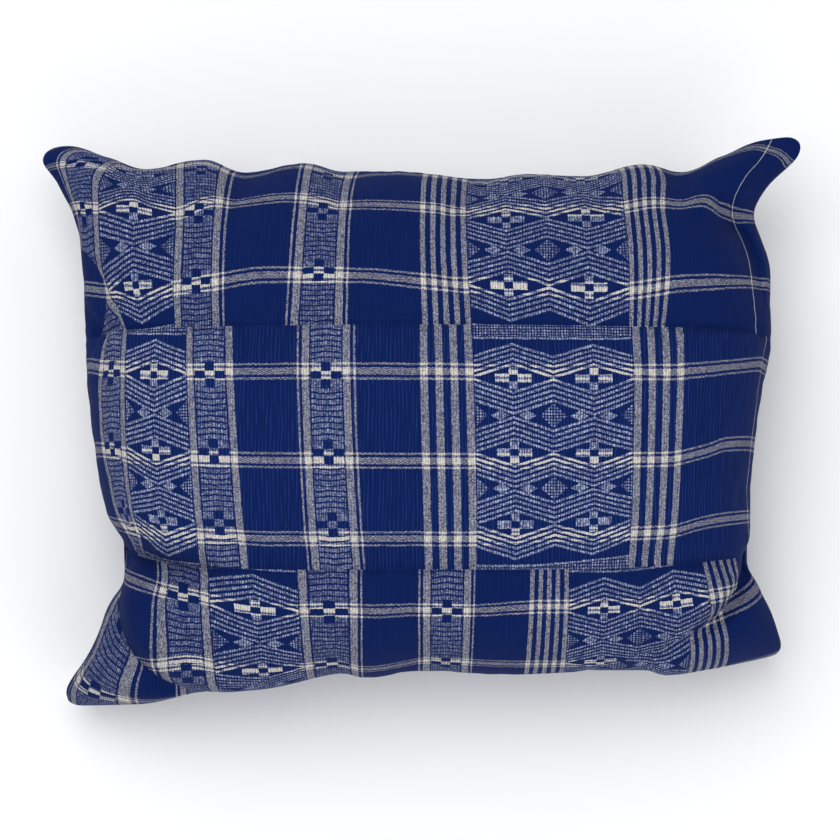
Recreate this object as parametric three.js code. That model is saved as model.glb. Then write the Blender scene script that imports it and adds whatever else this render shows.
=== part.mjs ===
import * as THREE from 'three';
import { mergeVertices } from 'three/addons/utils/BufferGeometryUtils.js';

// A filled cushion whose face is three woven strips sewn side by side.
// It lies on its back. X runs along the strips, Y across them from the lower strip to the upper one,
// and Z up. The origin is on the surface under the middle of the cushion. All sizes are in millimetres.

// Driving dimensions
const STRIP_WIDTH = 158;
const CROWN_HEIGHT = 160;
const CROWN_FALL = 52;
const EDGE_HEIGHT = 76;
const CHANNEL = { depth: 4, width: 6.5 };
const UNDER_DROP = 56;
const MERGE_WITHIN = 0.001;
const EAR_SPREAD = { along: 125, across: 85 };
const EAR_ROUNDING = 10;
const CLOTH = { colour: 0x1a2b66, roughness: 0.92, metalness: 0 };

// How many facets run along a strip, and across each of the three strips
const FACETS_ALONG = 64;
const FACETS_ACROSS = 15;
// How much closer together the facets lie at the edges and joins than between them
const CROWDING = 0.35;

// The widest line of the cushion between its ears
const BODY = { left: -221, right: 229, bottom: -169, top: 168 };

// Each edge: how far in it rounds over, and how much cloth runs on below the widest line to the seam
const EDGES = {
  left: { reach: 74, rise: 76, under: 8 },
  right: { reach: 62, rise: 74, under: 8 },
  bottom: { reach: 50, rise: 70, under: 46 },
  top: { reach: 80, rise: 80, under: 0 },
};
const BACK_REACH = 115;
const BACK_FULLNESS = 1.12;

// The outline seen from above, a row for each ear, waist, bulge and pucker
const LEFT_SIDE = [
  { name: 'lower ear', at: -188.5, out: -243 },
  { name: 'ear edge', at: -150, out: -221.5 },
  { name: 'ear root', at: -120, out: -207.5 },
  { name: 'waist', at: -104, out: -198 },
  { name: 'under the join', at: -81, out: -198 },
  { name: 'lower bulge', at: -60, out: -209 },
  { name: 'middle', at: -20, out: -218 },
  { name: 'upper bulge', at: 29, out: -223.5 },
  { name: 'upper strip', at: 84, out: -226 },
  { name: 'ear root', at: 122, out: -230 },
  { name: 'ear edge', at: 142, out: -236 },
  { name: 'ear edge', at: 164, out: -247 },
  { name: 'upper ear', at: 189.5, out: -262 },
];
const RIGHT_SIDE = [
  { name: 'lower ear', at: -155, out: 243 },
  { name: 'ear edge', at: -130, out: 234.5 },
  { name: 'ear root', at: -110, out: 224.5 },
  { name: 'waist', at: -92, out: 216.5 },
  { name: 'lower bulge', at: -58, out: 218.5 },
  { name: 'middle', at: -18, out: 222 },
  { name: 'upper bulge', at: 20, out: 228 },
  { name: 'join', at: 56, out: 234 },
  { name: 'upper strip', at: 101, out: 234 },
  { name: 'ear root', at: 126, out: 227.5 },
  { name: 'notch under the ear', at: 140, out: 223.5 },
  { name: 'ear edge', at: 162, out: 235 },
  { name: 'ear edge', at: 178, out: 252 },
  { name: 'upper ear', at: 194, out: 260 },
];
const TOP_SIDE = [
  { name: 'left ear', at: -262, out: 189.5 },
  { name: 'ear edge', at: -241, out: 190.5 },
  { name: 'ear root', at: -213, out: 182 },
  { name: 'pucker', at: -186, out: 173 },
  { name: 'puff', at: -147, out: 178.5 },
  { name: 'pucker', at: -119, out: 169.5 },
  { name: 'puff', at: -79, out: 175.5 },
  { name: 'pucker', at: -52, out: 170 },
  { name: 'puff', at: -20, out: 170 },
  { name: 'pucker', at: 42, out: 165 },
  { name: 'puff', at: 74, out: 168 },
  { name: 'pucker', at: 109, out: 167 },
  { name: 'puff', at: 149, out: 174.5 },
  { name: 'pucker', at: 175.5, out: 169.5 },
  { name: 'ear edge', at: 202, out: 180 },
  { name: 'ear edge', at: 229, out: 190.5 },
  { name: 'right ear', at: 260, out: 194 },
];
const BOTTOM_SIDE = [
  { name: 'left ear', at: -243, out: -188.5 },
  { name: 'ear edge', at: -188.5, out: -187.5 },
  { name: 'ear root', at: -147, out: -180.5 },
  { name: 'puff', at: -105, out: -178 },
  { name: 'pucker', at: -52, out: -169 },
  { name: 'puff', at: -38, out: -171 },
  { name: 'pucker', at: 2, out: -166.5 },
  { name: 'puff', at: 55, out: -168.5 },
  { name: 'pucker', at: 148, out: -165.5 },
  { name: 'puff', at: 162, out: -168.5 },
  { name: 'ear edge', at: 190.5, out: -164.5 },
  { name: 'ear edge', at: 218.5, out: -159 },
  { name: 'right ear', at: 243, out: -155 },
];

// The height of each ear above the surface
const EARS = [
  { side: 'left', end: 'bottom', height: 30 },
  { side: 'right', end: 'bottom', height: 38 },
  { side: 'left', end: 'top', height: 58 },
  { side: 'right', end: 'top', height: 80 },
];

// Folds of the face: a soft trough, or a ridge where depth is negative, along a bent line seen from above.
// left and right are its widths on either side of that way; startDepth and endDepth are shares of its depth.
const FOLDS = [
  { name: 'body swelling over the lower left ear', from: [-150, -186], bend: [-206, -168], to: [-198, -92],
    depth: 13, left: 14, right: 16, startDepth: 0.9, endDepth: 0.4 },
  { name: 'body swelling over the lower right ear', from: [150, -166], bend: [176, -120], to: [224, -92],
    depth: 13, left: 13, right: 15, startDepth: 0.6, endDepth: 0.8 },
  { name: 'flattened left edge of the upper strip', from: [-232, 122], bend: [-196, 84], to: [-216, 0],
    depth: 7, left: 11, right: 11, startDepth: 0.3, endDepth: 0.1 },
  { name: 'middle strip hanging over the lower one', from: [-216, -76], bend: [-176, -88], to: [-128, -101],
    depth: 19, left: 12, right: 16, startDepth: 0.6, endDepth: 0 },
  { name: 'puff above that fold', from: [-210, -64], bend: [-176, -76], to: [-134, -90],
    depth: -7, left: 14, right: 9, startDepth: 0.7, endDepth: 0 },
  { name: 'tuck beside the upper left ear', from: [-196, 178], bend: [-212, 160], to: [-220, 134],
    depth: 7, left: 10, right: 10, startDepth: 1, endDepth: 0.1 },
  { name: 'ridge out to the upper right ear', from: [252, 191], bend: [204, 168], to: [150, 116],
    depth: -9, left: 13, right: 13, startDepth: 0.2, endDepth: 0 },
  { name: 'crease in from the notch', from: [230, 140], bend: [208, 128], to: [170, 118],
    depth: 9, left: 10, right: 10, startDepth: 1, endDepth: 0 },
  { name: 'crease down from the notch', from: [222, 136], bend: [214, 100], to: [222, 60],
    depth: 5, left: 9, right: 14, startDepth: 0.8, endDepth: 0.2 },
  { name: 'crease up from the first join', from: [32, 76], bend: [12, 96], to: [-6, 128],
    depth: 4, left: 9, right: 9, startDepth: 0.2, endDepth: 0.2 },
  { name: 'first pucker of the top edge', from: [-186, 172], bend: [-176, 150], to: [-160, 120],
    depth: 7, left: 12, right: 12, startDepth: 1.2, endDepth: 0 },
  { name: 'second pucker', from: [-119, 170], bend: [-116, 150], to: [-112, 118],
    depth: 5, left: 14, right: 14, startDepth: 1.2, endDepth: 0 },
  { name: 'third pucker', from: [-52, 170], bend: [-50, 150], to: [-44, 118],
    depth: 5, left: 15, right: 15, startDepth: 1.2, endDepth: 0 },
  { name: 'fourth pucker', from: [42, 163], bend: [34, 146], to: [10, 120],
    depth: 7, left: 13, right: 13, startDepth: 1.2, endDepth: 0.2 },
  { name: 'fifth pucker', from: [109, 166], bend: [108, 148], to: [104, 118],
    depth: 4, left: 16, right: 16, startDepth: 1.2, endDepth: 0 },
  { name: 'sixth pucker', from: [176, 169], bend: [172, 150], to: [160, 120],
    depth: 5, left: 14, right: 14, startDepth: 1.2, endDepth: 0 },
  { name: 'first pucker of the bottom edge', from: [-52, -170], bend: [-50, -154], to: [-46, -130],
    depth: 4, left: 12, right: 12, startDepth: 1.2, endDepth: 0 },
  { name: 'second pucker', from: [2, -168], bend: [2, -150], to: [4, -128],
    depth: 4, left: 14, right: 14, startDepth: 1.2, endDepth: 0 },
  { name: 'third pucker', from: [148, -167], bend: [140, -150], to: [126, -130],
    depth: 5, left: 12, right: 12, startDepth: 1.2, endDepth: 0 },
];

const FOLD_STEPS = 24;
const FULL_DEPTH = 1.4;
// How soon a fold reaches its depth, in from the seam
const FOLD_RISE = 2.2;

const clamp = (value, low, high) => Math.min(high, Math.max(low, value));
const mix = (a, b, share) => a + (b - a) * share;

// A smooth line through the rows of a side that never swings past them
function sideAt(rows, at) {
  const last = rows.length - 1;
  const x = clamp(at, rows[0].at, rows[last].at);
  let k = 0;
  while (k < last - 1 && x > rows[k + 1].at) k += 1;
  const step = rows[k + 1].at - rows[k].at;
  const slope = (n) => {
    if (n <= 0 || n >= last) return 0;
    const before = (rows[n].out - rows[n - 1].out) / (rows[n].at - rows[n - 1].at);
    const after = (rows[n + 1].out - rows[n].out) / (rows[n + 1].at - rows[n].at);
    return before * after > 0 ? (2 * before * after) / (before + after) : 0;
  };
  const t = (x - rows[k].at) / step;
  const rise = t * t * (3 - 2 * t);
  const leave = t * (1 - t) * (1 - t) * step * slope(k);
  const arrive = t * t * (t - 1) * step * slope(k + 1);
  return mix(rows[k].out, rows[k + 1].out, rise) + leave + arrive;
}

// The length of a quarter of an ellipse
function quarterArc(a, b) {
  const h = ((a - b) / (a + b)) ** 2;
  return (Math.PI / 4) * (a + b) * (1 + (3 * h) / (10 + Math.sqrt(4 - 3 * h)));
}

// Where cloth lies that is `run` along from the seam of a rounded edge: how far in from the widest line,
// and its lift, from 0 at the widest line to 1 on top. Below the widest line the lift is negative.
function overEdge(run, edge) {
  const quarter = quarterArc(edge.reach, edge.rise);
  const along = run - edge.under;
  const angle = Math.min(along / quarter, 1) * (Math.PI / 2);
  const flat = Math.max(along - quarter, 0);
  return { inset: edge.reach * (1 - Math.cos(angle)) + flat, lift: Math.sin(angle) };
}

// How much cloth lies between two edges that are `span` apart
function clothBetween(span, one, other) {
  const overOne = one.under + quarterArc(one.reach, one.rise) - one.reach;
  const overOther = other.under + quarterArc(other.reach, other.rise) - other.reach;
  return span + overOne + overOther;
}

// How much of an ear's or waist's pull is left this far from the edge
const fade = (distance, spread) => clamp(1 - distance / spread, 0, 1) ** 2;

// How far in from one edge the cloth moves to make the tip of an ear round, by its distances from both edges
function rounding(distance, fromOther) {
  const near = clamp(1 - distance / EAR_ROUNDING, 0, 1);
  const nearOther = clamp(1 - fromOther / EAR_ROUNDING, 0, 1);
  return EAR_ROUNDING * near * (1 - Math.sqrt(1 - nearOther ** 2 / 2));
}

// The body with its four corners rounded
function roundCorners(x, y) {
  const left = x - BODY.left;
  const right = BODY.right - x;
  const bottom = y - BODY.bottom;
  const top = BODY.top - y;
  return {
    x: x + rounding(left, bottom) + rounding(left, top) - rounding(right, bottom) - rounding(right, top),
    y: y + rounding(bottom, left) + rounding(bottom, right) - rounding(top, left) - rounding(top, right),
  };
}

// Blends a straight body into its real outline: the ears, waists and puckers die away inwards
function ontoOutline(bodyX, bodyY) {
  const near = {
    left: fade(bodyX - BODY.left, EAR_SPREAD.along),
    right: fade(BODY.right - bodyX, EAR_SPREAD.along),
    bottom: fade(bodyY - BODY.bottom, EAR_SPREAD.across),
    top: fade(BODY.top - bodyY, EAR_SPREAD.across),
  };
  const tip = {
    left: [BOTTOM_SIDE[0].at, TOP_SIDE[0].at],
    right: [BOTTOM_SIDE.at(-1).at, TOP_SIDE.at(-1).at],
    bottom: [LEFT_SIDE[0].at, RIGHT_SIDE[0].at],
    top: [LEFT_SIDE.at(-1).at, RIGHT_SIDE.at(-1).at],
  };
  const xOn = (end) => bodyX + (tip.left[end] - BODY.left) * near.left
    + (tip.right[end] - BODY.right) * near.right;
  const yOn = (side) => bodyY + (tip.bottom[side] - BODY.bottom) * near.bottom
    + (tip.top[side] - BODY.top) * near.top;
  const x = bodyX + (sideAt(LEFT_SIDE, yOn(0)) - BODY.left) * near.left
    + (sideAt(RIGHT_SIDE, yOn(1)) - BODY.right) * near.right;
  const y = bodyY + (sideAt(BOTTOM_SIDE, xOn(0)) - BODY.bottom) * near.bottom
    + (sideAt(TOP_SIDE, xOn(1)) - BODY.top) * near.top;
  const edge = EARS.reduce((height, ear) => (
    height + (ear.height - EDGE_HEIGHT) * near[ear.side] * near[ear.end]), EDGE_HEIGHT);
  return { x, y, edge };
}

// How far a fold presses the cloth down at a place seen from above
function foldDepth(fold, x, y) {
  const alongBend = (a, b, c, t) => mix(mix(a, b, t), mix(b, c, t), t);
  let nearest = Infinity;
  let share = 0;
  let width = fold.left;
  for (let n = 0; n <= FOLD_STEPS; n += 1) {
    const t = n / FOLD_STEPS;
    const awayX = x - alongBend(fold.from[0], fold.bend[0], fold.to[0], t);
    const awayY = y - alongBend(fold.from[1], fold.bend[1], fold.to[1], t);
    const distance = Math.hypot(awayX, awayY);
    if (distance < nearest) {
      const wayX = mix(fold.bend[0] - fold.from[0], fold.to[0] - fold.bend[0], t);
      const wayY = mix(fold.bend[1] - fold.from[1], fold.to[1] - fold.bend[1], t);
      nearest = distance;
      share = alongBend(fold.startDepth, FULL_DEPTH, fold.endDepth, t);
      width = awayX * wayY - awayY * wayX < 0 ? fold.left : fold.right;
    }
  }
  return fold.depth * share * Math.exp(-((nearest / width) ** 2));
}

const CLOTH_ALONG = clothBetween(BODY.right - BODY.left, EDGES.left, EDGES.right);
const CLOTH_ACROSS = 3 * STRIP_WIDTH;

// Where the cloth of the lower strip has slipped towards the top: its place, how far that spreads, and how much
const SLIPS = [
  { name: 'beside the left waist', along: 0, across: 150, spreadAlong: 95, spreadAcross: 48, moved: 19 },
  { name: 'beside the right waist', along: CLOTH_ALONG, across: 150, spreadAlong: 100, spreadAcross: 52, moved: 15 },
];

function slipped(along, across) {
  return SLIPS.reduce((sum, slip) => sum + slip.moved * Math.exp(
    -(((along * CLOTH_ALONG - slip.along) / slip.spreadAlong) ** 2)
    - (((across * CLOTH_ACROSS - slip.across) / slip.spreadAcross) ** 2),
  ), 0);
}

// A place on the face, from shares of the cloth along the strips and across them
function facePoint(along, across) {
  const fromLeft = overEdge(along * CLOTH_ALONG, EDGES.left);
  const fromRight = overEdge((1 - along) * CLOTH_ALONG, EDGES.right);
  const fromBottom = overEdge(across * CLOTH_ACROSS, EDGES.bottom);
  const fromTop = overEdge((1 - across) * CLOTH_ACROSS, EDGES.top);
  const sideLift = Math.min(fromLeft.lift, fromRight.lift);
  const endLift = Math.min(fromBottom.lift, fromTop.lift);
  const body = Math.max(sideLift, 0);
  const bottomInset = fromBottom.lift < 0 ? fromBottom.inset * body : fromBottom.inset;
  const flatX = along < 0.5 ? BODY.left + fromLeft.inset : BODY.right - fromRight.inset;
  const flatY = across < 0.5 ? BODY.bottom + bottomInset : BODY.top - fromTop.inset;
  const { x: bodyX, y: bodyY } = roundCorners(flatX, flatY + slipped(along, across));
  const { x, y, edge } = ontoOutline(bodyX, bodyY);

  const crown = CROWN_HEIGHT - CROWN_FALL * ((bodyX / BODY.right) ** 2 + (bodyY / BODY.top) ** 2) / 2;
  const lift = body * Math.max(endLift, 0);
  const under = Math.min(endLift, 0) * body + Math.min(sideLift, 0) * Math.max(endLift, 0);
  const channels = [1, 2].reduce((sum, join) => {
    const distance = across * CLOTH_ACROSS - join * STRIP_WIDTH;
    return sum + CHANNEL.depth * Math.exp(-((distance / CHANNEL.width) ** 2));
  }, 0);
  const folds = FOLDS.reduce((sum, fold) => sum + foldDepth(fold, x, y), 0);
  const pressed = channels * Math.sqrt(lift) + folds * clamp(lift * FOLD_RISE, 0, 1);
  const z = edge + (crown - edge) * lift + UNDER_DROP * under - pressed;
  return new THREE.Vector3(x, y, z);
}

// A share of the cloth, drawn towards the ends of each of its parts
function crowded(share, parts) {
  const turns = 2 * Math.PI * parts;
  return share - (CROWDING * Math.sin(turns * share)) / turns;
}

// The face as rows of points, with a row on each join between strips
function faceRows() {
  const rows = [];
  for (let j = 0; j <= 3 * FACETS_ACROSS; j += 1) {
    const row = [];
    for (let i = 0; i <= FACETS_ALONG; i += 1) {
      row.push(facePoint(crowded(i / FACETS_ALONG, 1), crowded(j / (3 * FACETS_ACROSS), 3)));
    }
    rows.push(row);
  }
  return rows;
}

// How far a rounded back has come down, this far in from the seam
const backDrop = (distance) => Math.sqrt(1 - (1 - clamp(distance / BACK_REACH, 0, 1)) ** 2);

// The back fills the seam's own outline: each row runs from seam to seam and drops to the flat it rests on
function backRows(face) {
  const top = face.length - 1;
  const right = face[0].length - 1;
  const corner = (j, i) => face[j][i];
  return face.map((row, j) => row.map((point, i) => {
    if (j === 0 || j === top || i === 0 || i === right) return point;
    const u = (mix(corner(0, i).x, corner(top, i).x, 0.5) - corner(0, 0).x)
      / (corner(0, right).x - corner(0, 0).x);
    const v = (mix(corner(j, 0).y, corner(j, right).y, 0.5) - corner(0, 0).y)
      / (corner(top, 0).y - corner(0, 0).y);
    const fill = (axis) => {
      const acrossSeam = mix(corner(0, i)[axis], corner(top, i)[axis], v);
      const alongSeam = mix(corner(j, 0)[axis], corner(j, right)[axis], u);
      const low = mix(corner(0, 0)[axis], corner(0, right)[axis], u);
      const high = mix(corner(top, 0)[axis], corner(top, right)[axis], u);
      return acrossSeam + alongSeam - mix(low, high, v);
    };
    const x = fill('x');
    const y = fill('y');
    const fromSide = Math.min(x - corner(j, 0).x, corner(j, right).x - x);
    const fromEnd = Math.min(y - corner(0, i).y, corner(top, i).y - y);
    const drop = BACK_FULLNESS * backDrop(fromSide) * backDrop(fromEnd);
    return new THREE.Vector3(x, y, Math.max(0, fill('z') * (1 - drop)));
  }));
}

// One closed solid: face and back share the seam all round
function cushionGeometry() {
  const face = faceRows();
  const back = backRows(face);
  const points = [];
  // Each four-sided facet is split along its shorter diagonal, which keeps the folds clean
  const addQuad = (a, b, c, d) => {
    if (a.distanceTo(c) <= b.distanceTo(d)) points.push(a, b, c, a, c, d);
    else points.push(a, b, d, b, c, d);
  };
  for (let j = 0; j < face.length - 1; j += 1) {
    for (let i = 0; i < FACETS_ALONG; i += 1) {
      addQuad(face[j][i], face[j][i + 1], face[j + 1][i + 1], face[j + 1][i]);
      addQuad(back[j][i], back[j + 1][i], back[j + 1][i + 1], back[j][i + 1]);
    }
  }
  const loose = new THREE.BufferGeometry().setFromPoints(points);
  const geometry = mergeVertices(loose, MERGE_WITHIN);
  geometry.computeBoundingBox();
  const { min, max } = geometry.boundingBox;
  geometry.translate(-(min.x + max.x) / 2, -(min.y + max.y) / 2, -min.z);
  geometry.computeVertexNormals();
  return geometry;
}

const cloth = new THREE.MeshStandardMaterial({
  color: CLOTH.colour,
  roughness: CLOTH.roughness,
  metalness: CLOTH.metalness,
});
const cushion = new THREE.Mesh(cushionGeometry(), cloth);
cushion.name = 'cushion';

const group = new THREE.Group();
group.add(cushion);
export default group;
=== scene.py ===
import math
import bpy
import numpy as np
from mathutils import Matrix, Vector


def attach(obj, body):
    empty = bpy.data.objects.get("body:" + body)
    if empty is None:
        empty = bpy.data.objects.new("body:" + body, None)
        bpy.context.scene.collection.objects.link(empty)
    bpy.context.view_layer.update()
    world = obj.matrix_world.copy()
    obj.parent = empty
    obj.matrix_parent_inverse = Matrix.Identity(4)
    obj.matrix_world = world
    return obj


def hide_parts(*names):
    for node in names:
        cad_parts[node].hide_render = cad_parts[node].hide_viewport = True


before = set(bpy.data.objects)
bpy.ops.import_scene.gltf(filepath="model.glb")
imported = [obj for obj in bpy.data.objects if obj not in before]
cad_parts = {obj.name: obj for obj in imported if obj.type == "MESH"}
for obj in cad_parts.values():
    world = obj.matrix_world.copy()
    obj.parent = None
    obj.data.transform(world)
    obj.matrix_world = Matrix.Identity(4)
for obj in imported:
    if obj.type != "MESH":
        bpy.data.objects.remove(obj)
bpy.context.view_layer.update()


# The cushion is one cotton cover, stuffed with loose fibre and sewn shut all round. It lies on its back.
# Its face swells to a crown, its sides draw in between four pointed ears, and two joins cross it as channels.
# Sizes here are in millimetres. A row of a side is a place along it and how far out the cloth reaches there.
STRIP_WIDTH = 158
CROWN_HEIGHT, CROWN_FALL, EDGE_HEIGHT = 160, 52, 76
CHANNEL_DEPTH, CHANNEL_WIDTH = 3, 7
SEAM_DEPTH, SEAM_WIDTH = 3, 1.7
UNDER_DROP = 56
BACK_REACH, BACK_FULLNESS = 115, 1.12
EAR_ALONG, EAR_ACROSS, EAR_ROUNDING = 125, 85, 10
BODY = {"left": -221, "right": 229, "bottom": -169, "top": 168}
# How far in each edge rounds over, its rise, and how much cloth runs on below its widest line
EDGES = {"left": (74, 76, 8), "right": (62, 74, 8), "bottom": (50, 70, 46), "top": (80, 80, 0)}
LEFT_SIDE = [
    (-188.5, -243), (-150, -221.5), (-120, -207.5), (-104, -198), (-81, -198), (-60, -209), (-20, -218),
    (29, -223.5), (84, -226), (122, -230), (142, -236), (164, -247), (189.5, -262)]
RIGHT_SIDE = [
    (-155, 243), (-130, 234.5), (-110, 224.5), (-92, 216.5), (-58, 218.5), (-18, 222), (20, 228),
    (56, 234), (101, 234), (126, 227.5), (140, 223.5), (162, 235), (178, 252), (194, 260)]
TOP_SIDE = [
    (-262, 189.5), (-241, 190.5), (-213, 182), (-186, 173), (-147, 178.5), (-119, 169.5), (-79, 175.5),
    (-52, 170), (-20, 170), (42, 165), (74, 168), (109, 167), (149, 174.5), (175.5, 169.5),
    (202, 180), (229, 190.5), (260, 194)]
BOTTOM_SIDE = [
    (-243, -188.5), (-188.5, -187.5), (-147, -180.5), (-105, -178), (-52, -169), (-38, -171),
    (2, -166.5), (55, -168.5), (148, -165.5), (162, -168.5), (190.5, -164.5), (218.5, -159), (243, -155)]
# The height of the seam at each ear
EARS = [("left", "bottom", 30), ("right", "bottom", 38), ("left", "top", 58), ("right", "top", 80)]
# A fold is followed in this many steps, and its depth is drawn to this share at its bend. Its hanging side
# is carried furthest at this distance from its line, and folds come in this fast above the widest line.
FOLD_STEPS, FULL_DEPTH, HANG_REACH, FOLD_RISE = 24, 1.4, 8, 2.2


def side_at(rows, at):
    """A smooth line through the rows of a side that never swings past them."""
    places, outs = np.array(rows, float).T
    steps = np.diff(places)
    rises = np.diff(outs) / steps
    before, after = rises[:-1], rises[1:]
    same_way = before * after > 0
    lean = np.zeros(len(places))
    lean[1:-1][same_way] = (2 * before * after)[same_way] / (before + after)[same_way]
    at = np.clip(at, places[0], places[-1])
    k = np.clip(np.searchsorted(places, at) - 1, 0, len(steps) - 1)
    t = (at - places[k]) / steps[k]
    bend = t * (1 - t) ** 2 * lean[k] - t * t * (1 - t) * lean[k + 1]
    return outs[k] + (outs[k + 1] - outs[k]) * t * t * (3 - 2 * t) + bend * steps[k]


def quarter_arc(reach, rise):
    h = ((reach - rise) / (reach + rise)) ** 2
    return math.pi / 4 * (reach + rise) * (1 + 3 * h / (10 + math.sqrt(4 - 3 * h)))


def over_edge(run, edge):
    """How far in cloth lies, this far from the seam, and its lift, 0 at the widest line and 1 at the top."""
    reach, rise, below = edge
    along = run - below
    quarter = quarter_arc(reach, rise)
    angle = np.minimum(along / quarter, 1) * math.pi / 2
    return reach * (1 - np.cos(angle)) + np.maximum(along - quarter, 0), np.sin(angle)


def cloth_between(low, high):
    extra = sum(below + quarter_arc(reach, rise) - reach for reach, rise, below in (EDGES[low], EDGES[high]))
    return BODY[high] - BODY[low] + extra


CLOTH_ALONG = cloth_between("left", "right")
CLOTH_ACROSS = 3 * STRIP_WIDTH
# Where the cloth has slipped: the place along and across, how far the slip spreads each way, and how far the
# cloth moved each way
SLIPS = [
    (0, 150, 95, 48, 0, 19),
    (CLOTH_ALONG, 150, 100, 52, 0, 15)]
# A fold: start, bend and end from above, its depth (below zero is a ridge), its width to the left of that
# way and to the right, share of depth at start and end, and how far the left side hangs over it. At a tuck
# the cloth on the right runs in under the left and comes out again further along.
TUCKS = [
    ((-196, -96), (-211, -166), (-136, -181), 17, 6, 12, 0.5, 1.0, 3.5),
    ((161, -147), (206, -130), (213, -88), 19, 5, 10, 0.6, 0.9, 3.5),
    ((-227, 116), (-196, 91), (-210, 60), 9, 5, 10, 0.5, 0.6, 2)]
FOLDS = [
    ((-212, 59), (-200, 32), (-211, 4), 7, 6, 10, 0.6, 0.4, 0),
    ((-214, -76), (-172, -95), (-126, -104), 21, 8, 15, 0.6, 0, 4),
    ((-210, -64), (-176, -76), (-134, -90), -7, 14, 9, 0.7, 0, 0),
    ((-196, 178), (-212, 160), (-220, 134), 7, 10, 10, 1, 0.1, 0),
    ((252, 191), (204, 168), (150, 116), -9, 13, 13, 0.2, 0, 0),
    ((230, 140), (208, 128), (170, 118), 9, 10, 10, 1, 0, 0),
    ((205, 141), (225, 114), (226, 68), 17, 4, 14, 0.5, 0.1, 2.5),
    ((32, 76), (12, 96), (-6, 128), 4, 9, 9, 0.2, 0.2, 0),
    ((-186, 172), (-176, 150), (-160, 120), 7, 12, 12, 1.2, 0, 0),
    ((-119, 170), (-116, 150), (-112, 118), 5, 14, 14, 1.2, 0, 0),
    ((-52, 170), (-50, 150), (-44, 118), 5, 15, 15, 1.2, 0, 0),
    ((42, 163), (34, 146), (10, 120), 7, 13, 13, 1.2, 0.2, 0),
    ((109, 166), (108, 148), (104, 118), 4, 16, 16, 1.2, 0, 0),
    ((176, 169), (172, 150), (160, 120), 5, 14, 14, 1.2, 0, 0),
    ((-52, -170), (-50, -154), (-46, -130), 4, 12, 12, 1.2, 0, 0),
    ((2, -168), (2, -150), (4, -128), 4, 14, 14, 1.2, 0, 0),
    ((148, -167), (140, -150), (126, -130), 5, 12, 12, 1.2, 0, 0)]


def near(distance, spread):
    return np.clip(1 - distance / spread, 0, 1) ** 2


def rounding(from_side, from_end):
    """How far in from side and end the cloth moves to make the tip of an ear round."""
    u, v = (np.clip(1 - distance / EAR_ROUNDING, 0, 1) for distance in (from_side, from_end))
    return EAR_ROUNDING * u * (1 - np.sqrt(1 - v * v / 2)), EAR_ROUNDING * v * (1 - np.sqrt(1 - u * u / 2))


def fold_press(fold, x, y):
    """How far a fold presses cloth down and carries it in X and Y, and how far right of it the cloth is."""
    start, bend, end, depth, left_width, right_width, first, last, hang = fold
    nearest = np.full(x.shape, np.inf)
    share, side = np.zeros(x.shape), np.zeros(x.shape)
    over_x, over_y = np.zeros(x.shape), np.zeros(x.shape)
    for t in np.linspace(0, 1, FOLD_STEPS + 1):
        place = [(1 - t) ** 2 * a + 2 * t * (1 - t) * b + t * t * c for a, b, c in zip(start, bend, end)]
        way = [(1 - t) * (b - a) + t * (c - b) for a, b, c in zip(start, bend, end)]
        length = math.hypot(*way)
        to_right = (way[1] / length, -way[0] / length)
        away = (x - place[0], y - place[1])
        distance = np.hypot(*away)
        closer = distance < nearest
        share[closer] = (1 - t) ** 2 * first + 2 * t * (1 - t) * FULL_DEPTH + t * t * last
        side[closer] = (away[0] * to_right[0] + away[1] * to_right[1])[closer]
        over_x[closer], over_y[closer] = to_right
        nearest = np.minimum(nearest, distance)
    press = depth * share * np.exp(-((nearest / np.where(side < 0, left_width, right_width)) ** 2))
    carried = hang * share * (side < 0) * (nearest / HANG_REACH) * np.exp(1 - nearest / HANG_REACH)
    return press, carried * over_x, carried * over_y, side


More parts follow.
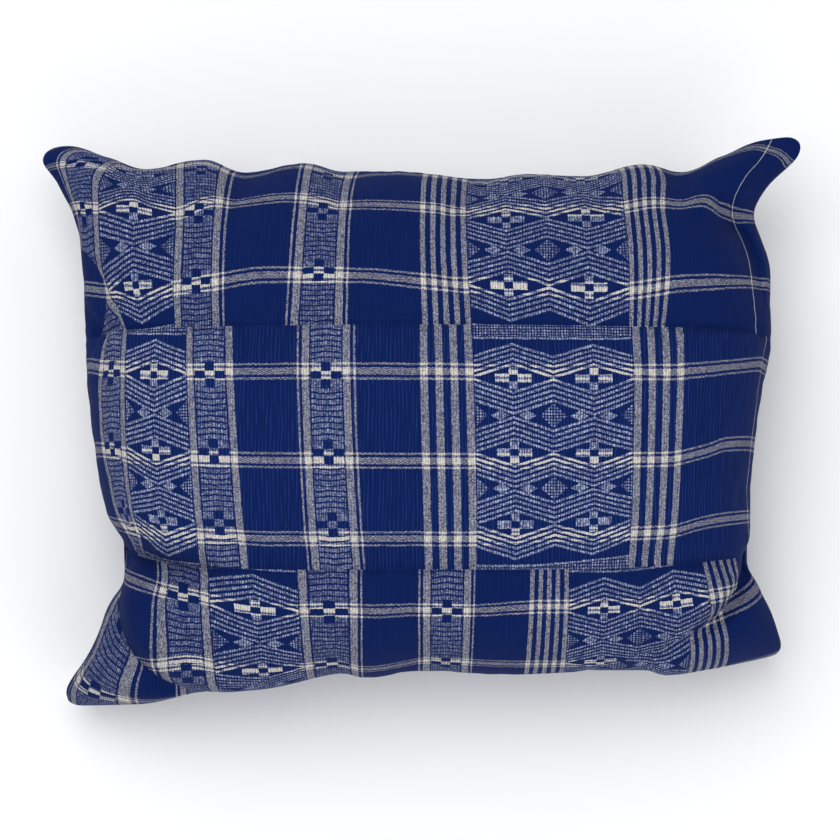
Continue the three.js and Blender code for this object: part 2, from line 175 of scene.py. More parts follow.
def face_points(s, t):
    """Where the face's cloth lies, s along the strips from the left seam and t across them from the bottom
    seam, and how far past the line of each tuck it is."""
    in_left, lift_left = over_edge(s, EDGES["left"])
    in_right, lift_right = over_edge(CLOTH_ALONG - s, EDGES["right"])
    in_bottom, lift_bottom = over_edge(t, EDGES["bottom"])
    in_top, lift_top = over_edge(CLOTH_ACROSS - t, EDGES["top"])
    side_lift = np.minimum(lift_left, lift_right)
    end_lift = np.minimum(lift_bottom, lift_top)
    body = np.maximum(side_lift, 0)
    in_bottom = np.where(lift_bottom < 0, in_bottom * body, in_bottom)
    x0 = np.where(s < CLOTH_ALONG / 2, BODY["left"] + in_left, BODY["right"] - in_right)
    y0 = np.where(t < CLOTH_ACROSS / 2, BODY["bottom"] + in_bottom, BODY["top"] - in_top)
    for place_s, place_t, spread_s, spread_t, along, across in SLIPS:
        share = np.exp(-(((s - place_s) / spread_s) ** 2) - ((t - place_t) / spread_t) ** 2)
        x0, y0 = x0 + along * share, y0 + across * share
    for way_x, edge_x in ((1, "left"), (-1, "right")):
        for way_y, edge_y in ((1, "bottom"), (-1, "top")):
            in_x, in_y = rounding((x0 - BODY[edge_x]) * way_x, (y0 - BODY[edge_y]) * way_y)
            x0, y0 = x0 + in_x * way_x, y0 + in_y * way_y
    pull = {
        "left": near(x0 - BODY["left"], EAR_ALONG), "right": near(BODY["right"] - x0, EAR_ALONG),
        "bottom": near(y0 - BODY["bottom"], EAR_ACROSS), "top": near(BODY["top"] - y0, EAR_ACROSS)}

    def stretched(place, rows, low, high):
        to_low = (rows[0][0] - BODY[low]) * pull[low]
        return place + to_low + (rows[-1][0] - BODY[high]) * pull[high]

    x, y = x0.copy(), y0.copy()
    for rows, side in ((LEFT_SIDE, "left"), (RIGHT_SIDE, "right")):
        x += (side_at(rows, stretched(y0, rows, "bottom", "top")) - BODY[side]) * pull[side]
    for rows, side in ((BOTTOM_SIDE, "bottom"), (TOP_SIDE, "top")):
        y += (side_at(rows, stretched(x0, rows, "left", "right")) - BODY[side]) * pull[side]
    edge = EDGE_HEIGHT + sum((height - EDGE_HEIGHT) * pull[side] * pull[end] for side, end, height in EARS)
    crown = CROWN_HEIGHT - CROWN_FALL * ((x0 / BODY["right"]) ** 2 + (y0 / BODY["top"]) ** 2) / 2
    lift = body * np.maximum(end_lift, 0)
    turned_under = np.minimum(end_lift, 0) * body + np.minimum(side_lift, 0) * np.maximum(end_lift, 0)
    pressed = [fold_press(fold, x, y) for fold in TUCKS + FOLDS]
    press, over_x, over_y = (sum(values) for values in list(zip(*pressed))[:3])
    carry = np.clip(lift * FOLD_RISE, 0, 1)
    channels = 0
    for join in (1, 2):
        for depth, width in ((CHANNEL_DEPTH, CHANNEL_WIDTH), (SEAM_DEPTH, SEAM_WIDTH)):
            channels = channels + depth * np.exp(-(((t - join * STRIP_WIDTH) / width) ** 2))
    z = edge + (crown - edge) * lift + UNDER_DROP * turned_under - press * carry - channels * np.sqrt(lift)
    past_tucks = [side for *_, side in pressed[:len(TUCKS)]]
    return np.stack([x + over_x * carry, y + over_y * carry, z], axis=-1), past_tucks


def back_points(face):
    """The back fills the seam's own outline and drops, rounded, to the flat that it rests on."""
    low, high = face[0][None], face[-1][None]
    left, right = face[:, :1], face[:, -1:]
    corner = {(j, i): face[j, i] for j in (0, -1) for i in (0, -1)}
    u = ((low + high)[..., 0] / 2 - corner[0, 0][0]) / (corner[0, -1][0] - corner[0, 0][0])
    v = ((left + right)[..., 1] / 2 - corner[0, 0][1]) / (corner[-1, 0][1] - corner[0, 0][1])
    u, v = u[..., None], v[..., None]
    flat = low * (1 - v) + high * v + left * (1 - u) + right * u
    flat -= (corner[0, 0] * (1 - u) + corner[0, -1] * u) * (1 - v)
    flat -= (corner[-1, 0] * (1 - u) + corner[-1, -1] * u) * v
    from_side = np.minimum(flat[..., 0] - left[..., 0], right[..., 0] - flat[..., 0])
    from_end = np.minimum(flat[..., 1] - low[..., 1], high[..., 1] - flat[..., 1])
    drop = BACK_FULLNESS
    for distance in (from_side, from_end):
        drop = drop * np.sqrt(1 - (1 - np.clip(distance / BACK_REACH, 0, 1)) ** 2)
    flat[..., 2] = np.maximum(flat[..., 2] * (1 - drop), 0)
    return flat


# Rows of the mesh lie closer together at the joins
CELLS_ALONG, CELLS_PER_STRIP, CROWDING = 150, 40, 0.6
CELLS_ACROSS = 3 * CELLS_PER_STRIP
across_shares = np.linspace(0, 1, CELLS_ACROSS + 1)
across_shares -= CROWDING * np.sin(6 * math.pi * across_shares) / (6 * math.pi)
s, t = np.meshgrid(np.linspace(0, CLOTH_ALONG, CELLS_ALONG + 1), CLOTH_ACROSS * across_shares)
face, past_tucks = face_points(s, t)
back = back_points(face)
low_corner, high_corner = face.min(axis=(0, 1)), face.max(axis=(0, 1))
middle = np.array([*(low_corner + high_corner)[:2] / 2, back[..., 2].min()])
face, back = face - middle, back - middle

# Face and back share the points of the seam, so the cover is one closed skin
number = np.arange(s.size).reshape(s.shape)
back_number = number.copy()
inner = (slice(1, -1), slice(1, -1))
inner_shape = back_number[inner].shape
back_number[inner] = s.size + np.arange(math.prod(inner_shape)).reshape(inner_shape)
points = np.vstack([face.reshape(-1, 3), back[inner].reshape(-1, 3)]) / 1000


def quads(grid, inwards):
    a, b, c, d = grid[:-1, :-1], grid[:-1, 1:], grid[1:, 1:], grid[1:, :-1]
    return np.stack([a, d, c, b] if inwards else [a, b, c, d], axis=-1).reshape(-1, 4)


face_quads, back_quads = quads(number, False), quads(back_number, True)
cover_mesh = bpy.data.meshes.new("cushion cover")
cover_mesh.from_pydata(points.tolist(), [], face_quads.tolist() + back_quads.tolist())
cover = bpy.data.objects.new("cushion_cover", cover_mesh)
bpy.context.collection.objects.link(cover)

# The filling presses the cloth out. A cloth pass blows up a copy of the cover, held at its seams and back,
# and each point of the cover then goes up to 4 mm that way, less of it sideways, so the weave
# stays in place.
SETTLE_FRAMES, SETTLE_PRESSURE, SETTLE_SLACK = 20, 4, 0.02
SETTLE_SIDEWAYS, SETTLE_CAP = 0.4, 4
HELD_NEAR_SEAM = 2.5
from_join = np.abs(t.ravel()[:, None] - np.arange(4) * STRIP_WIDTH).min(axis=1)
from_end = np.minimum(s.ravel(), CLOTH_ALONG - s.ravel())
held_points = np.flatnonzero(np.minimum(from_join, from_end) < HELD_NEAR_SEAM).tolist()
blown = cover.copy()
blown.data = cover_mesh.copy()
bpy.context.collection.objects.link(blown)
held = blown.vertex_groups.new(name="held")
held.add(held_points + list(range(s.size, len(points))), 1, "ADD")
air = blown.modifiers.new("air", "CLOTH").settings
air.vertex_group_mass = held.name
air.use_pressure = True
air.uniform_pressure_force = SETTLE_PRESSURE
air.shrink_min = -SETTLE_SLACK
air.effector_weights.gravity = 0
for frame_number in range(1, SETTLE_FRAMES + 1):
    bpy.context.scene.frame_set(frame_number)
blown_mesh = blown.evaluated_get(bpy.context.evaluated_depsgraph_get()).data
blown_points = np.empty(points.size)
blown_mesh.vertices.foreach_get("co", blown_points)
way = (blown_points.reshape(-1, 3) - points) * (SETTLE_SIDEWAYS, SETTLE_SIDEWAYS, 1)
length = np.linalg.norm(way, axis=1, keepdims=True)
cap = SETTLE_CAP / 1000
points = points + way * (cap / np.maximum(length, cap))
cover_mesh.vertices.foreach_set("co", points.ravel())
cover_mesh.update()
bpy.data.objects.remove(blown)
bpy.context.scene.frame_set(1)

# Where the bars and blocks of the weave lie: place in the pattern, then cloth from the left seam to it, near
# the strip's lower edge, in its middle and near its upper edge. The lower strip was cut further along the
# cloth and shows the small ladder twice, so its second table starts again there.
EDGE_AT = 12
BLOCKS = {
    "lower": [
        [(-101, 12, 12, 0), (-85, 74, 72, 60), (-59, 115, 111, 96), (-32, 141, 138, 130), (0, 170, 171, 165),
         (32, 201, 200, 197), (59, 231, 231, 231), (84, 252, 252, 252)],
        [(82, 252, 252, 252), (107, 275, 275, 275), (136, 303, 303, 304), (184, 338, 338, 340),
         (216, 367, 366, 367), (318, 457, 457, 460), (350, 487, 487, 495), (412, 549, 549, 557)]],
    "middle": [
        [(-98, 3, 0, 6), (-59, 62, 47, 58), (-32, 72, 73, 77), (0, 101, 100, 101), (32, 129, 127, 124),
         (59, 159, 154, 150), (107, 203, 199, 197), (136, 232, 228, 226), (177, 271, 269, 268),
         (216, 308, 307, 305), (267, 358, 357, 357), (318, 407, 409, 409), (357, 442, 445, 445),
         (410, 518, 517, 520)]],
    "upper": [
        [(-96, 8, 3, 10), (-59, 30, 27, 73), (-32, 74, 57, 86), (0, 90, 88, 99), (32, 116, 118, 120),
         (59, 141, 142, 146), (107, 190, 194, 197), (136, 221, 223, 227), (184, 270, 269, 272),
         (216, 304, 302, 304), (318, 407, 406, 404), (350, 433, 436, 430), (410, 501, 493, 496)]],
}
# Where the three white warp bands of each strip run: place along it, then each band's place across it
BANDS = {
    "lower": [
        (60, 46, 99, 142), (120, 46, 99, 140), (160, 35, 88, 134), (200, 28, 81, 131), (240, 22, 75, 130),
        (300, 27, 81, 130), (350, 25, 79, 133), (400, 23, 77, 132), (450, 32, 85, 136), (520, 36, 88, 138)],
    "middle": [
        (20, 25, 82, 139), (60, 24, 79, 134), (80, 22, 74, 131), (120, 21, 71, 127), (180, 19, 69, 127),
        (300, 19, 68, 126), (340, 21, 68, 125), (380, 22, 69, 127), (430, 22, 70, 127), (460, 27, 76, 130),
        (480, 29, 82, 133), (520, 30, 85, 138)],
    "upper": [
        (20, 33, 85, 118), (60, 29, 83, 117), (76, 27, 85, 119), (90, 25, 86, 140), (104, 24, 81, 146),
        (116, 25, 77, 132), (140, 28, 87, 130), (170, 32, 90, 131), (220, 32, 85, 128), (280, 27, 82, 131),
        (340, 24, 81, 134), (400, 22, 82, 138), (440, 28, 90, 140), (460, 30, 88, 139), (480, 32, 79, 136),
        (500, 34, 77, 125), (535, 35, 77, 113)],
}
# Where the three rows of figures of each strip run, in the same way
ROWS = {
    "lower": [
        (60, 48, 100, 143), (120, 41, 90, 138), (170, 34, 86, 132), (216, 25, 79, 129), (288, 25, 77, 129),
        (388, 29, 81, 129), (436, 36, 88, 133), (520, 38, 90, 139)],
    "middle": [
        (62, 36, 83, 130), (100, 30, 77, 126), (142, 29, 75, 125), (216, 28, 74, 124), (332, 28, 74, 122),
        (382, 30, 74, 122), (520, 42, 91, 136)],
    "upper": [
        (46, 26, 80, 118), (86, 29, 82, 128), (128, 29, 76, 119), (206, 35, 77, 121), (328, 25, 72, 123),
        (379, 24, 74, 131), (520, 33, 73, 128)],
}
# How many stripes lie on each side of the double lozenge, and how far apart bands and rows lie
STRIPES = {"lower": 5, "middle": 4, "upper": 5}
BAND_PITCH, ROW_PITCH = 53, 48
# The back isn't seen. It is the same cloth laid straight: cloth before the pattern starts, and where its
# first band and first row lie across a strip.
BACK_START, BACK_BAND, BACK_ROW = 60, 26, 30
# The cloth that comes out past each tuck: its strip, places along it and in the pattern, bands and rows
# across it, and its lean, as what a millimetre along adds to the place across, counted from one place along
PAST_TUCKS = [
    ("lower", [(0, -175), (28, -140), (45, -131), (78, -112), (90, -105), (93, -103), (115, -64),
               (122, -55), (150, -30)], [(0, -23, -29), (76, 53, 47), (158, 135, 129)], 0.47, 57),
    ("lower", [(400, 267), (447, 320), (470, 346), (474, 350), (555, 430)],
     [(0, 17, 11), (71, 67, 61), (128, 107, 96), (158, 128, 117)], -0.15, 486),
    ("upper", [(0, -101), (90, -70)], None, 0, 0)]


def arc_from_middle(rows):
    """Cloth between neighbouring points, counted along the second axis from its middle."""
    steps = np.linalg.norm(np.diff(rows, axis=1), axis=-1)
    runs = np.concatenate([np.zeros((rows.shape[0], 1)), np.cumsum(steps, axis=1)], axis=1)
    return runs - runs[:, runs.shape[1] // 2][:, None]


back_s = CLOTH_ALONG / 2 + arc_from_middle(back)
back_t = CLOTH_ACROSS / 2 + arc_from_middle(back.transpose(1, 0, 2)).T
back_t = np.clip(back_t, 0, CLOTH_ACROSS)
back_cells = quads(number, True)
corners_s = np.concatenate([s.ravel()[face_quads], back_s.ravel()[back_cells]])
corners_t = np.concatenate([t.ravel()[face_quads], back_t.ravel()[back_cells]])
middle_s, middle_t = corners_s.mean(axis=1), corners_t.mean(axis=1)


def looked_up(places, values, at):
    """Between the rows of a table, and straight on past its ends."""
    return np.interp(at, places, values) + at - np.clip(at, places[0], places[-1])


def among_blocks(table, at_s, at_t):
    """The place in the pattern along the strip, on a curve through its lower edge, middle and upper edge."""
    pattern, *columns = zip(*table)
    low, half, high = (looked_up(column, pattern, at_s) for column in columns)
    v = (at_t - STRIP_WIDTH / 2) / (STRIP_WIDTH / 2 - EDGE_AT)
    return half + (high - low) / 2 * v + ((high + low) / 2 - half) * v * v


def among_lines(table, pitch, at_s, at_t):
    """The place in the pattern across a strip, where the three lines of a table lie a pitch apart."""
    along, *lines = zip(*table)
    low, half, high = (side_at(list(zip(along, line)), at_s) for line in lines)
    return pitch + pitch * (at_t - half) / np.where(at_t < half, half - low, high - half)


figures = np.zeros((*corners_s.shape, 3))
past_figures = np.zeros(figures.shape)
stripes = np.zeros(corners_s.shape)
past = np.full(corners_s.shape, -1.0)
face_count = len(face_quads)
past_corners = [np.concatenate([side.ravel()[face_quads], past[face_count:]]) for side in past_tucks]
for k, strip in enumerate(("lower", "middle", "upper")):
    on_strip = (middle_t // STRIP_WIDTH).astype(int) == k
    in_strip = corners_t - k * STRIP_WIDTH
    for first, table in enumerate(BLOCKS[strip]):
        here = on_strip & ((middle_s >= table[0][2]) | (first == 0))
        figures[here, :, 0] = among_blocks(table, corners_s[here], in_strip[here])
    for axis, table, pitch in ((1, BANDS, BAND_PITCH), (2, ROWS, ROW_PITCH)):
        figures[on_strip, :, axis] = among_lines(table[strip], pitch, corners_s[on_strip], in_strip[on_strip])
    on_back = on_strip & (np.arange(on_strip.size) >= face_count)
    figures[on_back, :, 0] = corners_s[on_back] - BACK_START
    figures[on_back, :, 1] = in_strip[on_back] - BACK_BAND
    figures[on_back, :, 2] = in_strip[on_back] - BACK_ROW
    stripes[on_strip] = STRIPES[strip]
    for (where, table, rows, lean, lean_from), side in zip(PAST_TUCKS, past_corners):
        here = on_strip & (side.max(axis=1) > 0) & (where == strip)
        past_figures[here] = figures[here]
        past_figures[here, :, 0] = looked_up(*zip(*table), corners_s[here])
        if rows:
            cloth, past_bands, past_rows = zip(*rows)
            leaning = lean * (corners_s[here] - lean_from)
            past_figures[here, :, 1] = looked_up(cloth, past_bands, in_strip[here]) + leaning
            past_figures[here, :, 2] = looked_up(cloth, past_rows, in_strip[here]) + leaning
        past[here] = side[here]
cloth_map = cover_mesh.uv_layers.new(name="cloth")
cloth_map.data.foreach_set("uv", (np.stack([corners_s, corners_t], axis=-1) / 1000).ravel())
weave_places = cover_mesh.attributes.new("weave", "FLOAT_VECTOR", "CORNER")
weave_places.data.foreach_set("vector", figures.ravel())
past_places = cover_mesh.attributes.new("weave_past_tucks", "FLOAT_VECTOR", "CORNER")
past_places.data.foreach_set("vector", past_figures.ravel())
past_sides = cover_mesh.attributes.new("past_tucks", "FLOAT", "CORNER")
past_sides.data.foreach_set("value", past.ravel())
stripe_counts = cover_mesh.attributes.new("stripes", "FLOAT", "CORNER")
stripe_counts.data.foreach_set("value", stripes.ravel())

bpy.ops.object.select_all(action="DESELECT")
bpy.context.view_layer.objects.active = cover
cover.select_set(True)
finer = cover.modifiers.new("finer", "SUBSURF")
finer.levels = finer.render_levels = 1
bpy.ops.object.modifier_apply(modifier=finer.name)
bpy.ops.object.shade_smooth()

# The cloth is woven by hand in deep indigo cotton. White warps run in three bands along each strip.
# White weft makes the stripes, and laid-in white weft makes the lozenges and ladders. Where white crosses
# white the cloth is cream. All places in the pattern are in millimetres of cloth.
weave = bpy.data.materials.new("indigo and white cotton")
weave.use_nodes = True
nodes, links = weave.node_tree.nodes, weave.node_tree.links
shader = nodes["Principled BSDF"]


def add(kind, **settings):
    node = nodes.new(kind)
    for name, value in settings.items():
        setattr(node, name, value)
    return node


def feed(socket, value):
    if isinstance(value, bpy.types.NodeSocket):
        links.new(value, socket)
    else:
        socket.default_value = value


def maths(operation, *values):
    node = add("ShaderNodeMath", operation=operation)
    for socket, value in zip(node.inputs, values):
        feed(socket, value)
    return node.outputs[0]


def plus(a, b):
    return maths("ADD", a, b)


def minus(a, b):
    return maths("SUBTRACT", a, b)


def times(a, b):
    return maths("MULTIPLY", a, b)


def under(a, b):
    return maths("LESS_THAN", a, b)


def over(a, b):
    return maths("GREATER_THAN", a, b)


def least(a, b):
    return maths("MINIMUM", a, b)


def most(a, b):
    return maths("MAXIMUM", a, b)


def size(a):
    return maths("ABSOLUTE", a)


def within(a, middle_at, half):
    return maths("COMPARE", a, middle_at, half)


def without(a):
    return maths("SUBTRACT", 1.0, a)


def several(values, join=most):
    total = values[0]
    for value in values[1:]:
        total = join(total, value)
    return total


def noise(vector, scale, detail=1.0):
    node = add("ShaderNodeTexNoise")
    feed(node.inputs["Vector"], vector)
    node.inputs["Scale"].default_value = scale
    node.inputs["Detail"].default_value = detail
    return node.outputs["Fac"]


def spread(vector, scales):
    node = add("ShaderNodeVectorMath", operation="MULTIPLY")
    feed(node.inputs[0], vector)
    node.inputs[1].default_value = scales
    return node.outputs[0]


cloth_uv = add("ShaderNodeUVMap", uv_map="cloth").outputs["UV"]
cloth_mm = spread(cloth_uv, (1000, 1000, 0))


def stored(name, output):
    return add("ShaderNodeAttribute", attribute_type="GEOMETRY", attribute_name=name).outputs[output]


# A place in the pattern is read past a tuck's line from the cloth that comes out there
pattern_place = add("ShaderNodeMix", data_type="VECTOR")
feed(pattern_place.inputs["Factor"], over(stored("past_tucks", "Fac"), 0))
feed(pattern_place.inputs[4], stored("weave", "Vector"))
feed(pattern_place.inputs[5], stored("weave_past_tucks", "Vector"))
split = add("ShaderNodeSeparateXYZ")
feed(split.inputs[0], pattern_place.outputs[1])
cloth_split = add("ShaderNodeSeparateXYZ")
feed(cloth_split.inputs[0], cloth_mm)
run, cross_run = cloth_split.outputs[0], cloth_split.outputs[1]
count = stored("stripes", "Fac")

# Hand weaving is never quite straight
UNEVEN = 0.9
wander_along = times(minus(noise(cloth_mm, 0.35), 0.5), UNEVEN)
wander_across = times(minus(noise(cloth_mm, 0.5), 0.5), UNEVEN)
along = plus(split.outputs[0], wander_along)
across = plus(split.outputs[1], wander_across)
row = plus(split.outputs[2], wander_across)

# White warp bands: one broad line between two fine ones
BROAD_HALF, FINE_AT, FINE_HALF = 2.1, 4.4, 0.65
from_band = maths("PINGPONG", plus(across, 2 * BAND_PITCH), BAND_PITCH / 2)
white_warp = most(under(from_band, BROAD_HALF), within(from_band, FINE_AT, FINE_HALF))

# Blocks along the strip, each even about its own middle: single lozenge, small ladder and double lozenge
SMALL_LADDER, DOUBLE_LOZENGE = 121.4, 267.0
SINGLE_HALF, DOUBLE_HALF, LOZENGE_HALF = 28.2, 50.4, 25.5
STRIPES_FROM = 51.0
SIDE_LADDER, LADDER_HALF = 44.75, 9.8
from_single = size(along)
from_small = size(minus(from_single, SMALL_LADDER))
from_double = size(minus(along, DOUBLE_LOZENGE))

# A bar: the middle that it is counted from, its place from there, and half its width
BROAD_BARS = [(from_single, 31.5, 2.35), (from_single, 57.95, 2.3), (from_small, 13.15, 2.35)]
SMALL_FINE_BAR, SIDE_FINE_BAR = (from_small, 18.15, 0.65), (from_single, 62.95, 0.65)
bars = several([within(*bar) for bar in (*BROAD_BARS, SMALL_FINE_BAR)])
# The middle strip, the one with four stripes, lacks the fine bar past its side ladders
bars = most(bars, times(within(*SIDE_FINE_BAR), over(count, 4.5)))
past_double = minus(from_double, STRIPES_FROM)
# Four stripes lie 10 mm apart, and five lie closer
STRIPE_PITCH, PITCH_LOSS, STRIPE_SHARE = 10.0, 3.5, 0.5
stripe_pitch = minus(STRIPE_PITCH, times(PITCH_LOSS, minus(count, 4)))
stripe_end = times(stripe_pitch, count)
in_stripe = under(maths("MODULO", past_double, stripe_pitch), times(stripe_pitch, STRIPE_SHARE))
all_stripes = several([over(past_double, 0), under(past_double, stripe_end), in_stripe], times)
LONE_WEFT, LONE_HALF = 410.0, 0.45
lone_weft = within(along, LONE_WEFT, LONE_HALF)
solid_weft = several([bars, all_stripes, lone_weft])

# Rows of figures
LAST_ROW = 2 * ROW_PITCH
from_row = maths("PINGPONG", plus(row, 2 * ROW_PITCH), ROW_PITCH / 2)
past_rows = most(times(row, -1), minus(row, LAST_ROW))
between_rows = under(past_rows, 0)

# Lozenges: chevrons round a dark lozenge with a cross in it, and small and stippled diamonds between the rows
CHEVRON_LEAN = 0.333
in_lozenges = most(under(from_single, SINGLE_HALF), under(from_double, DOUBLE_HALF))
from_middle = least(size(minus(from_double, LOZENGE_HALF)), times(from_single, LOZENGE_HALF / SINGLE_HALF))
row_rise = most(from_row, past_rows)
chevron = plus(row_rise, times(from_middle, CHEVRON_LEAN))
FIRST_CHEVRON, CHEVRON_PITCH, LAST_CHEVRON, CHEVRON_SHARE = 8.5, 3.35, 23.9, 0.5
chevron_turn = maths("FRACT", maths("DIVIDE", minus(chevron, FIRST_CHEVRON), CHEVRON_PITCH))
chevrons = several(
    [over(chevron, FIRST_CHEVRON), under(chevron, LAST_CHEVRON), under(chevron_turn, CHEVRON_SHARE)], times)
ARM_HALF, SQUARE_HALF, UPRIGHT_LENGTH, FLAT_HALF, FLAT_LENGTH = 2.8, 2.3, 7.2, 2.75, 11.6
uprights = several(
    [under(from_middle, ARM_HALF), over(row_rise, SQUARE_HALF), under(row_rise, UPRIGHT_LENGTH)], times)
flats = several(
    [over(from_middle, ARM_HALF), under(from_middle, FLAT_LENGTH), under(row_rise, FLAT_HALF)], times)
from_gap = minus(ROW_PITCH / 2, from_row)
DIAMOND_AT, DIAMOND_WIDE, DIAMOND_TALL = 9.0, 5.7, 3.3
STIPPLE_WIDE, STIPPLE_TALL = 8.6, 7.8
diamond = plus(maths("DIVIDE", size(minus(from_middle, DIAMOND_AT)), DIAMOND_WIDE),
               maths("DIVIDE", from_gap, DIAMOND_TALL))
stipple = plus(maths("DIVIDE", minus(LOZENGE_HALF, from_middle), STIPPLE_WIDE),
               maths("DIVIDE", from_gap, STIPPLE_TALL))
diamonds = times(under(diamond, 1), between_rows)
GRID_PITCH, GRID_SHARE = 1.9, 0.68
grid_dots = times(under(maths("FRACT", maths("DIVIDE", run, GRID_PITCH)), GRID_SHARE),
                  under(maths("FRACT", maths("DIVIDE", cross_run, GRID_PITCH)), GRID_SHARE))
stipples = several([under(stipple, 1), between_rows, grid_dots], times)
BORDER_AT, BORDER_HALF, SPECKLE_FROM = 27.1, 0.65, 28.4
borders = most(within(past_rows, BORDER_AT, BORDER_HALF), times(over(past_rows, SPECKLE_FROM), grid_dots))
lozenges = times(several([chevrons, uprights, flats, diamonds, stipples, borders]), in_lozenges)

# Ladders: a checked cross on each row of figures, and wavy dark lines between the rows
from_ladder = least(size(minus(from_single, SIDE_LADDER)), from_small)
in_ladder = under(from_ladder, LADDER_HALF)
CHECK_WIDE, CHECK_TALL = 6.2, 4.9
across_cell = over(from_ladder, CHECK_WIDE / 2)
up_cell = over(row_rise, CHECK_TALL / 2)
dark_check = times(size(minus(across_cell, up_cell)), under(row_rise, 1.5 * CHECK_TALL))
RUNG_PITCH, RUNG_SHARE, RUNG_LEAN, RUNG_WAVE = 3.7, 0.3, 0.1, 0.9
rung_place = plus(minus(row_rise, 1.5 * CHECK_TALL), times(from_ladder, RUNG_LEAN))
rung_place = plus(rung_place, times(minus(noise(spread(cloth_mm, (1, 0.2, 1)), 0.3), 0.5), RUNG_WAVE))
rungs = times(over(row_rise, 1.5 * CHECK_TALL), under(maths("FRACT", maths("DIVIDE", rung_place, RUNG_PITCH)),
                                                      RUNG_SHARE))
ladders = times(in_ladder, without(most(dark_check, rungs)))

figure = most(in_lozenges, in_ladder)
laid_weft = most(lozenges, ladders)

# Threads: dark warps part the white weft into short dashes, some bright and some sunk between the dark ones
WARP_PITCH, WEFT_PITCH, THREAD_WANDER = 1.62, 0.92, 2.6
thread_run = plus(run, times(minus(noise(spread(cloth_mm, (0.5, 0.12, 1)), 0.6, 2.0), 0.5), THREAD_WANDER))
thread_cross = plus(cross_run, times(wander_across, 0.8))


def by_chance(at_run, wide, tall):
    """A chance value, the same all over each small cell of cloth."""
    cell = add("ShaderNodeCombineXYZ")
    feed(cell.inputs[0], maths("FLOOR", maths("DIVIDE", at_run, wide)))
    feed(cell.inputs[1], maths("FLOOR", maths("DIVIDE", thread_cross, tall)))
    chance = add("ShaderNodeTexWhiteNoise", noise_dimensions="2D")
    feed(chance.inputs["Vector"], cell.outputs[0])
    return chance.outputs["Value"]


SPECK_WIDE, SPECK_TALL, SPECK_LEAN = 0.68, 0.62, 0.35
grain = by_chance(thread_run, WARP_PITCH, WEFT_PITCH)
specks = by_chance(plus(thread_run, times(cross_run, SPECK_LEAN)), SPECK_WIDE, SPECK_TALL)


def ramp(value, low, high):
    node = add("ShaderNodeMapRange", interpolation_type="SMOOTHSTEP")
    feed(node.inputs["Value"], value)
    node.inputs["From Min"].default_value = low
    node.inputs["From Max"].default_value = high
    return node.outputs["Result"]


dash = ramp(maths("PINGPONG", thread_run, WARP_PITCH / 2), 0.1, 0.5)
pick = ramp(maths("PINGPONG", thread_cross, WEFT_PITCH / 2), 0.0, 0.3)
mottle = noise(cloth_mm, 0.9, 2.0)

# Plain cloth has fine hairlines where a warp shows over the weft, wandering a little and soon broken off.
# They show most on the middle strip.
HAIR_PITCH, HAIR_WANDER = 2.4, 4.0
HAIR_SHOW, MIDDLE_HAIR_SHOW = 0.12, 0.43
hair_run = plus(run, times(minus(noise(spread(cloth_mm, (0.25, 0.05, 1)), 0.5, 1.0), 0.5), HAIR_WANDER))
hair = ramp(maths("PINGPONG", hair_run, HAIR_PITCH / 2), 0.62, 1.2)
hair_noise = noise(spread(cloth_mm, (1, 0.1, 1)), 0.42, 1.0)
on_middle = within(cross_run, 1.5 * STRIP_WIDTH, STRIP_WIDTH / 2)
hair_share = plus(HAIR_SHOW, times(MIDDLE_HAIR_SHOW, on_middle))
ribs = several([hair, plus(0.15, times(0.85, ramp(hair_noise, 0.32, 0.62))), hair_share], times)

# The broad warp bands show a fine zigzag
ZIGZAG_WIDE, ZIGZAG_PITCH = 1.5, 1.5
zigzag_place = plus(thread_cross, times(maths("PINGPONG", thread_run, ZIGZAG_WIDE), 0.7))
zigzag = ramp(maths("PINGPONG", zigzag_place, ZIGZAG_PITCH / 2), 0.1, 0.55)

# How much of each white shows between the dark threads
solid_here = times(solid_weft, without(figure))
white_in_weft = most(solid_here, laid_weft)
sunk = ramp(grain, 0.15, 0.95)
laid_show = several([laid_weft, plus(0.1, times(dash, 0.9)), plus(0.45, times(pick, 0.55)),
                     plus(0.30, times(sunk, 0.66)), plus(0.4, times(specks, 1.2)),
                     minus(1.0, times(in_ladder, 0.44)), minus(1.0, times(minus(count, 4), 0.2))], times)
solid_show = several([solid_here, plus(0.6, times(dash, 0.4)), plus(0.06, times(specks, 0.74))], times)
warp_show = several([white_warp, without(figure), without(solid_weft), plus(0.1, times(zigzag, 0.8)),
                     plus(0.15, times(specks, 1.2))], times)
solid_show = most(solid_show, times(lone_weft, 0.6))
both_show = several(
    [white_warp, white_in_weft, plus(0.45, times(dash, 0.36)), plus(0.6, times(specks, 0.6))], times)

DEEP_BLUE = (0.0030, 0.0120, 0.080, 1)
RIB_BLUE = (0.020, 0.045, 0.200, 1)
LAID_WHITE = (0.50, 0.55, 0.72, 1)
WEFT_WHITE = (0.46, 0.45, 0.46, 1)
WARP_GREY = (0.34, 0.33, 0.35, 1)
CREAM = (0.76, 0.71, 0.61, 1)


def mixed(share, first, second):
    node = add("ShaderNodeMix", data_type="RGBA", clamp_factor=True)
    feed(node.inputs["Factor"], share)
    feed(node.inputs[6], first)
    feed(node.inputs[7], second)
    return node.outputs[2]


colour = mixed(ribs, DEEP_BLUE, RIB_BLUE)
colour = mixed(warp_show, colour, WARP_GREY)
colour = mixed(solid_show, colour, WEFT_WHITE)
colour = mixed(laid_show, colour, LAID_WHITE)
colour = mixed(both_show, colour, CREAM)
links.new(colour, shader.inputs["Base Color"])
shader.inputs["Roughness"].default_value = 0.88
shader.inputs["Specular IOR Level"].default_value = 0.04
shader.inputs["Sheen Weight"].default_value = 0.015
shader.inputs["Sheen Roughness"].default_value = 0.5

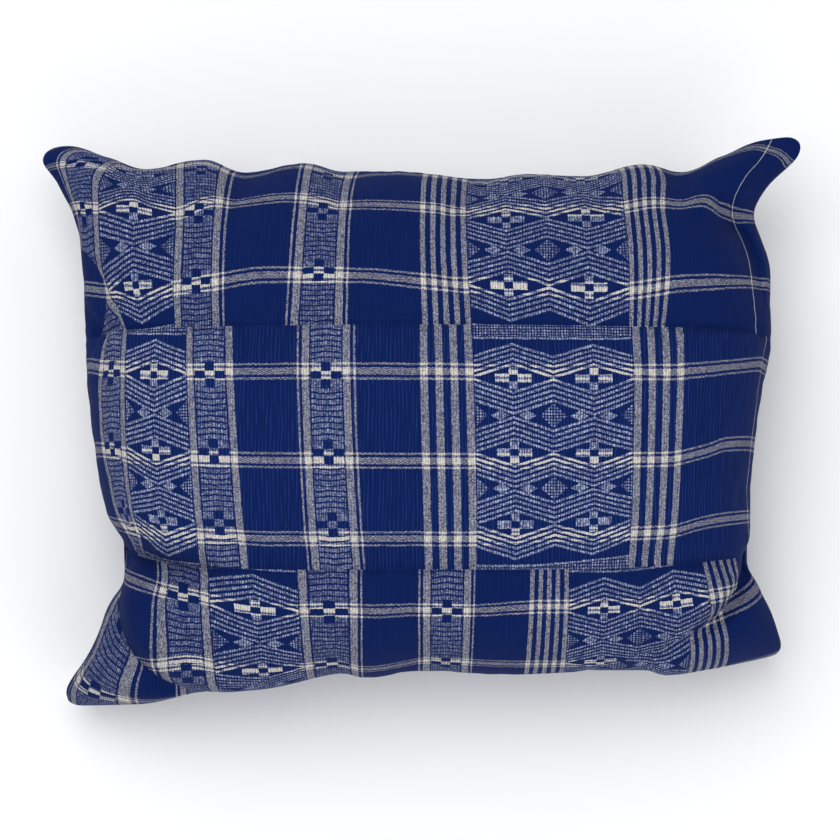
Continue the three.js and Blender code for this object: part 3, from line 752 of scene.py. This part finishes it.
thread_height = several(
    [times(ribs, 0.6), times(laid_show, 0.9), times(solid_show, 0.4), times(mottle, 0.4)], plus)
THREAD_STRENGTH, THREAD_STANDS = 0.5, 0.0004
bump = add("ShaderNodeBump")
bump.inputs["Strength"].default_value = THREAD_STRENGTH
bump.inputs["Distance"].default_value = THREAD_STANDS
feed(bump.inputs["Height"], thread_height)
links.new(bump.outputs[0], shader.inputs["Normal"])
cover_mesh.materials.append(weave)

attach(cover, "root")
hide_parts("cushion")


# The cushion lies on a pale matt floor, under a large soft lamp overhead and a weaker one from the front.
bpy.ops.mesh.primitive_plane_add(size=6, location=(0, 0, 0))
floor = bpy.context.active_object
floor.name = "floor"
pale = bpy.data.materials.new("pale floor")
pale.use_nodes = True
pale.node_tree.nodes["Principled BSDF"].inputs["Base Color"].default_value = (0.97, 0.97, 0.97, 1)
pale.node_tree.nodes["Principled BSDF"].inputs["Roughness"].default_value = 0.9
floor.data.materials.append(pale)

# A lamp: name, place, width and power
LAMPS = [
    ("overhead", (-0.4, 0.5, 1.9), 1.6, 22),
    ("front", (0.7, -1.7, 1.2), 1.6, 12),
]
LIT_PLACE = Vector((0, 0, 0.05))
for name, place, width, power in LAMPS:
    lamp_data = bpy.data.lights.new(name, "AREA")
    lamp_data.size = width
    lamp_data.energy = power
    lamp = bpy.data.objects.new(name, lamp_data)
    lamp.location = place
    lamp.rotation_euler = (LIT_PLACE - Vector(place)).to_track_quat("-Z", "Y").to_euler()
    bpy.context.collection.objects.link(lamp)

surroundings = bpy.data.worlds.new("pale room")
surroundings.use_nodes = True
surroundings.node_tree.nodes["Background"].inputs["Color"].default_value = (0.95, 0.97, 1, 1)
surroundings.node_tree.nodes["Background"].inputs["Strength"].default_value = 0.58
bpy.context.scene.world = surroundings
bpy.context.scene.view_settings.view_transform = "Standard"

# The camera looks almost straight down on the face, from the side of the lower strip
LOOKS_AT = Vector((0.0001, -0.0032, 0.100))
ELEVATION, DISTANCE, SPAN = math.radians(84), 1.9, 0.5544
camera_data = bpy.data.cameras.new("camera")
camera_data.sensor_width = camera_data.sensor_height = 36
camera_data.sensor_fit = "HORIZONTAL"
camera_data.angle = 2 * math.atan(SPAN / 2 / DISTANCE)
camera = bpy.data.objects.new("camera", camera_data)
camera.location = LOOKS_AT + DISTANCE * Vector((0, -math.cos(ELEVATION), math.sin(ELEVATION)))
camera.rotation_euler = (LOOKS_AT - camera.location).to_track_quat("-Z", "Y").to_euler()
bpy.context.collection.objects.link(camera)
bpy.context.scene.camera = camera
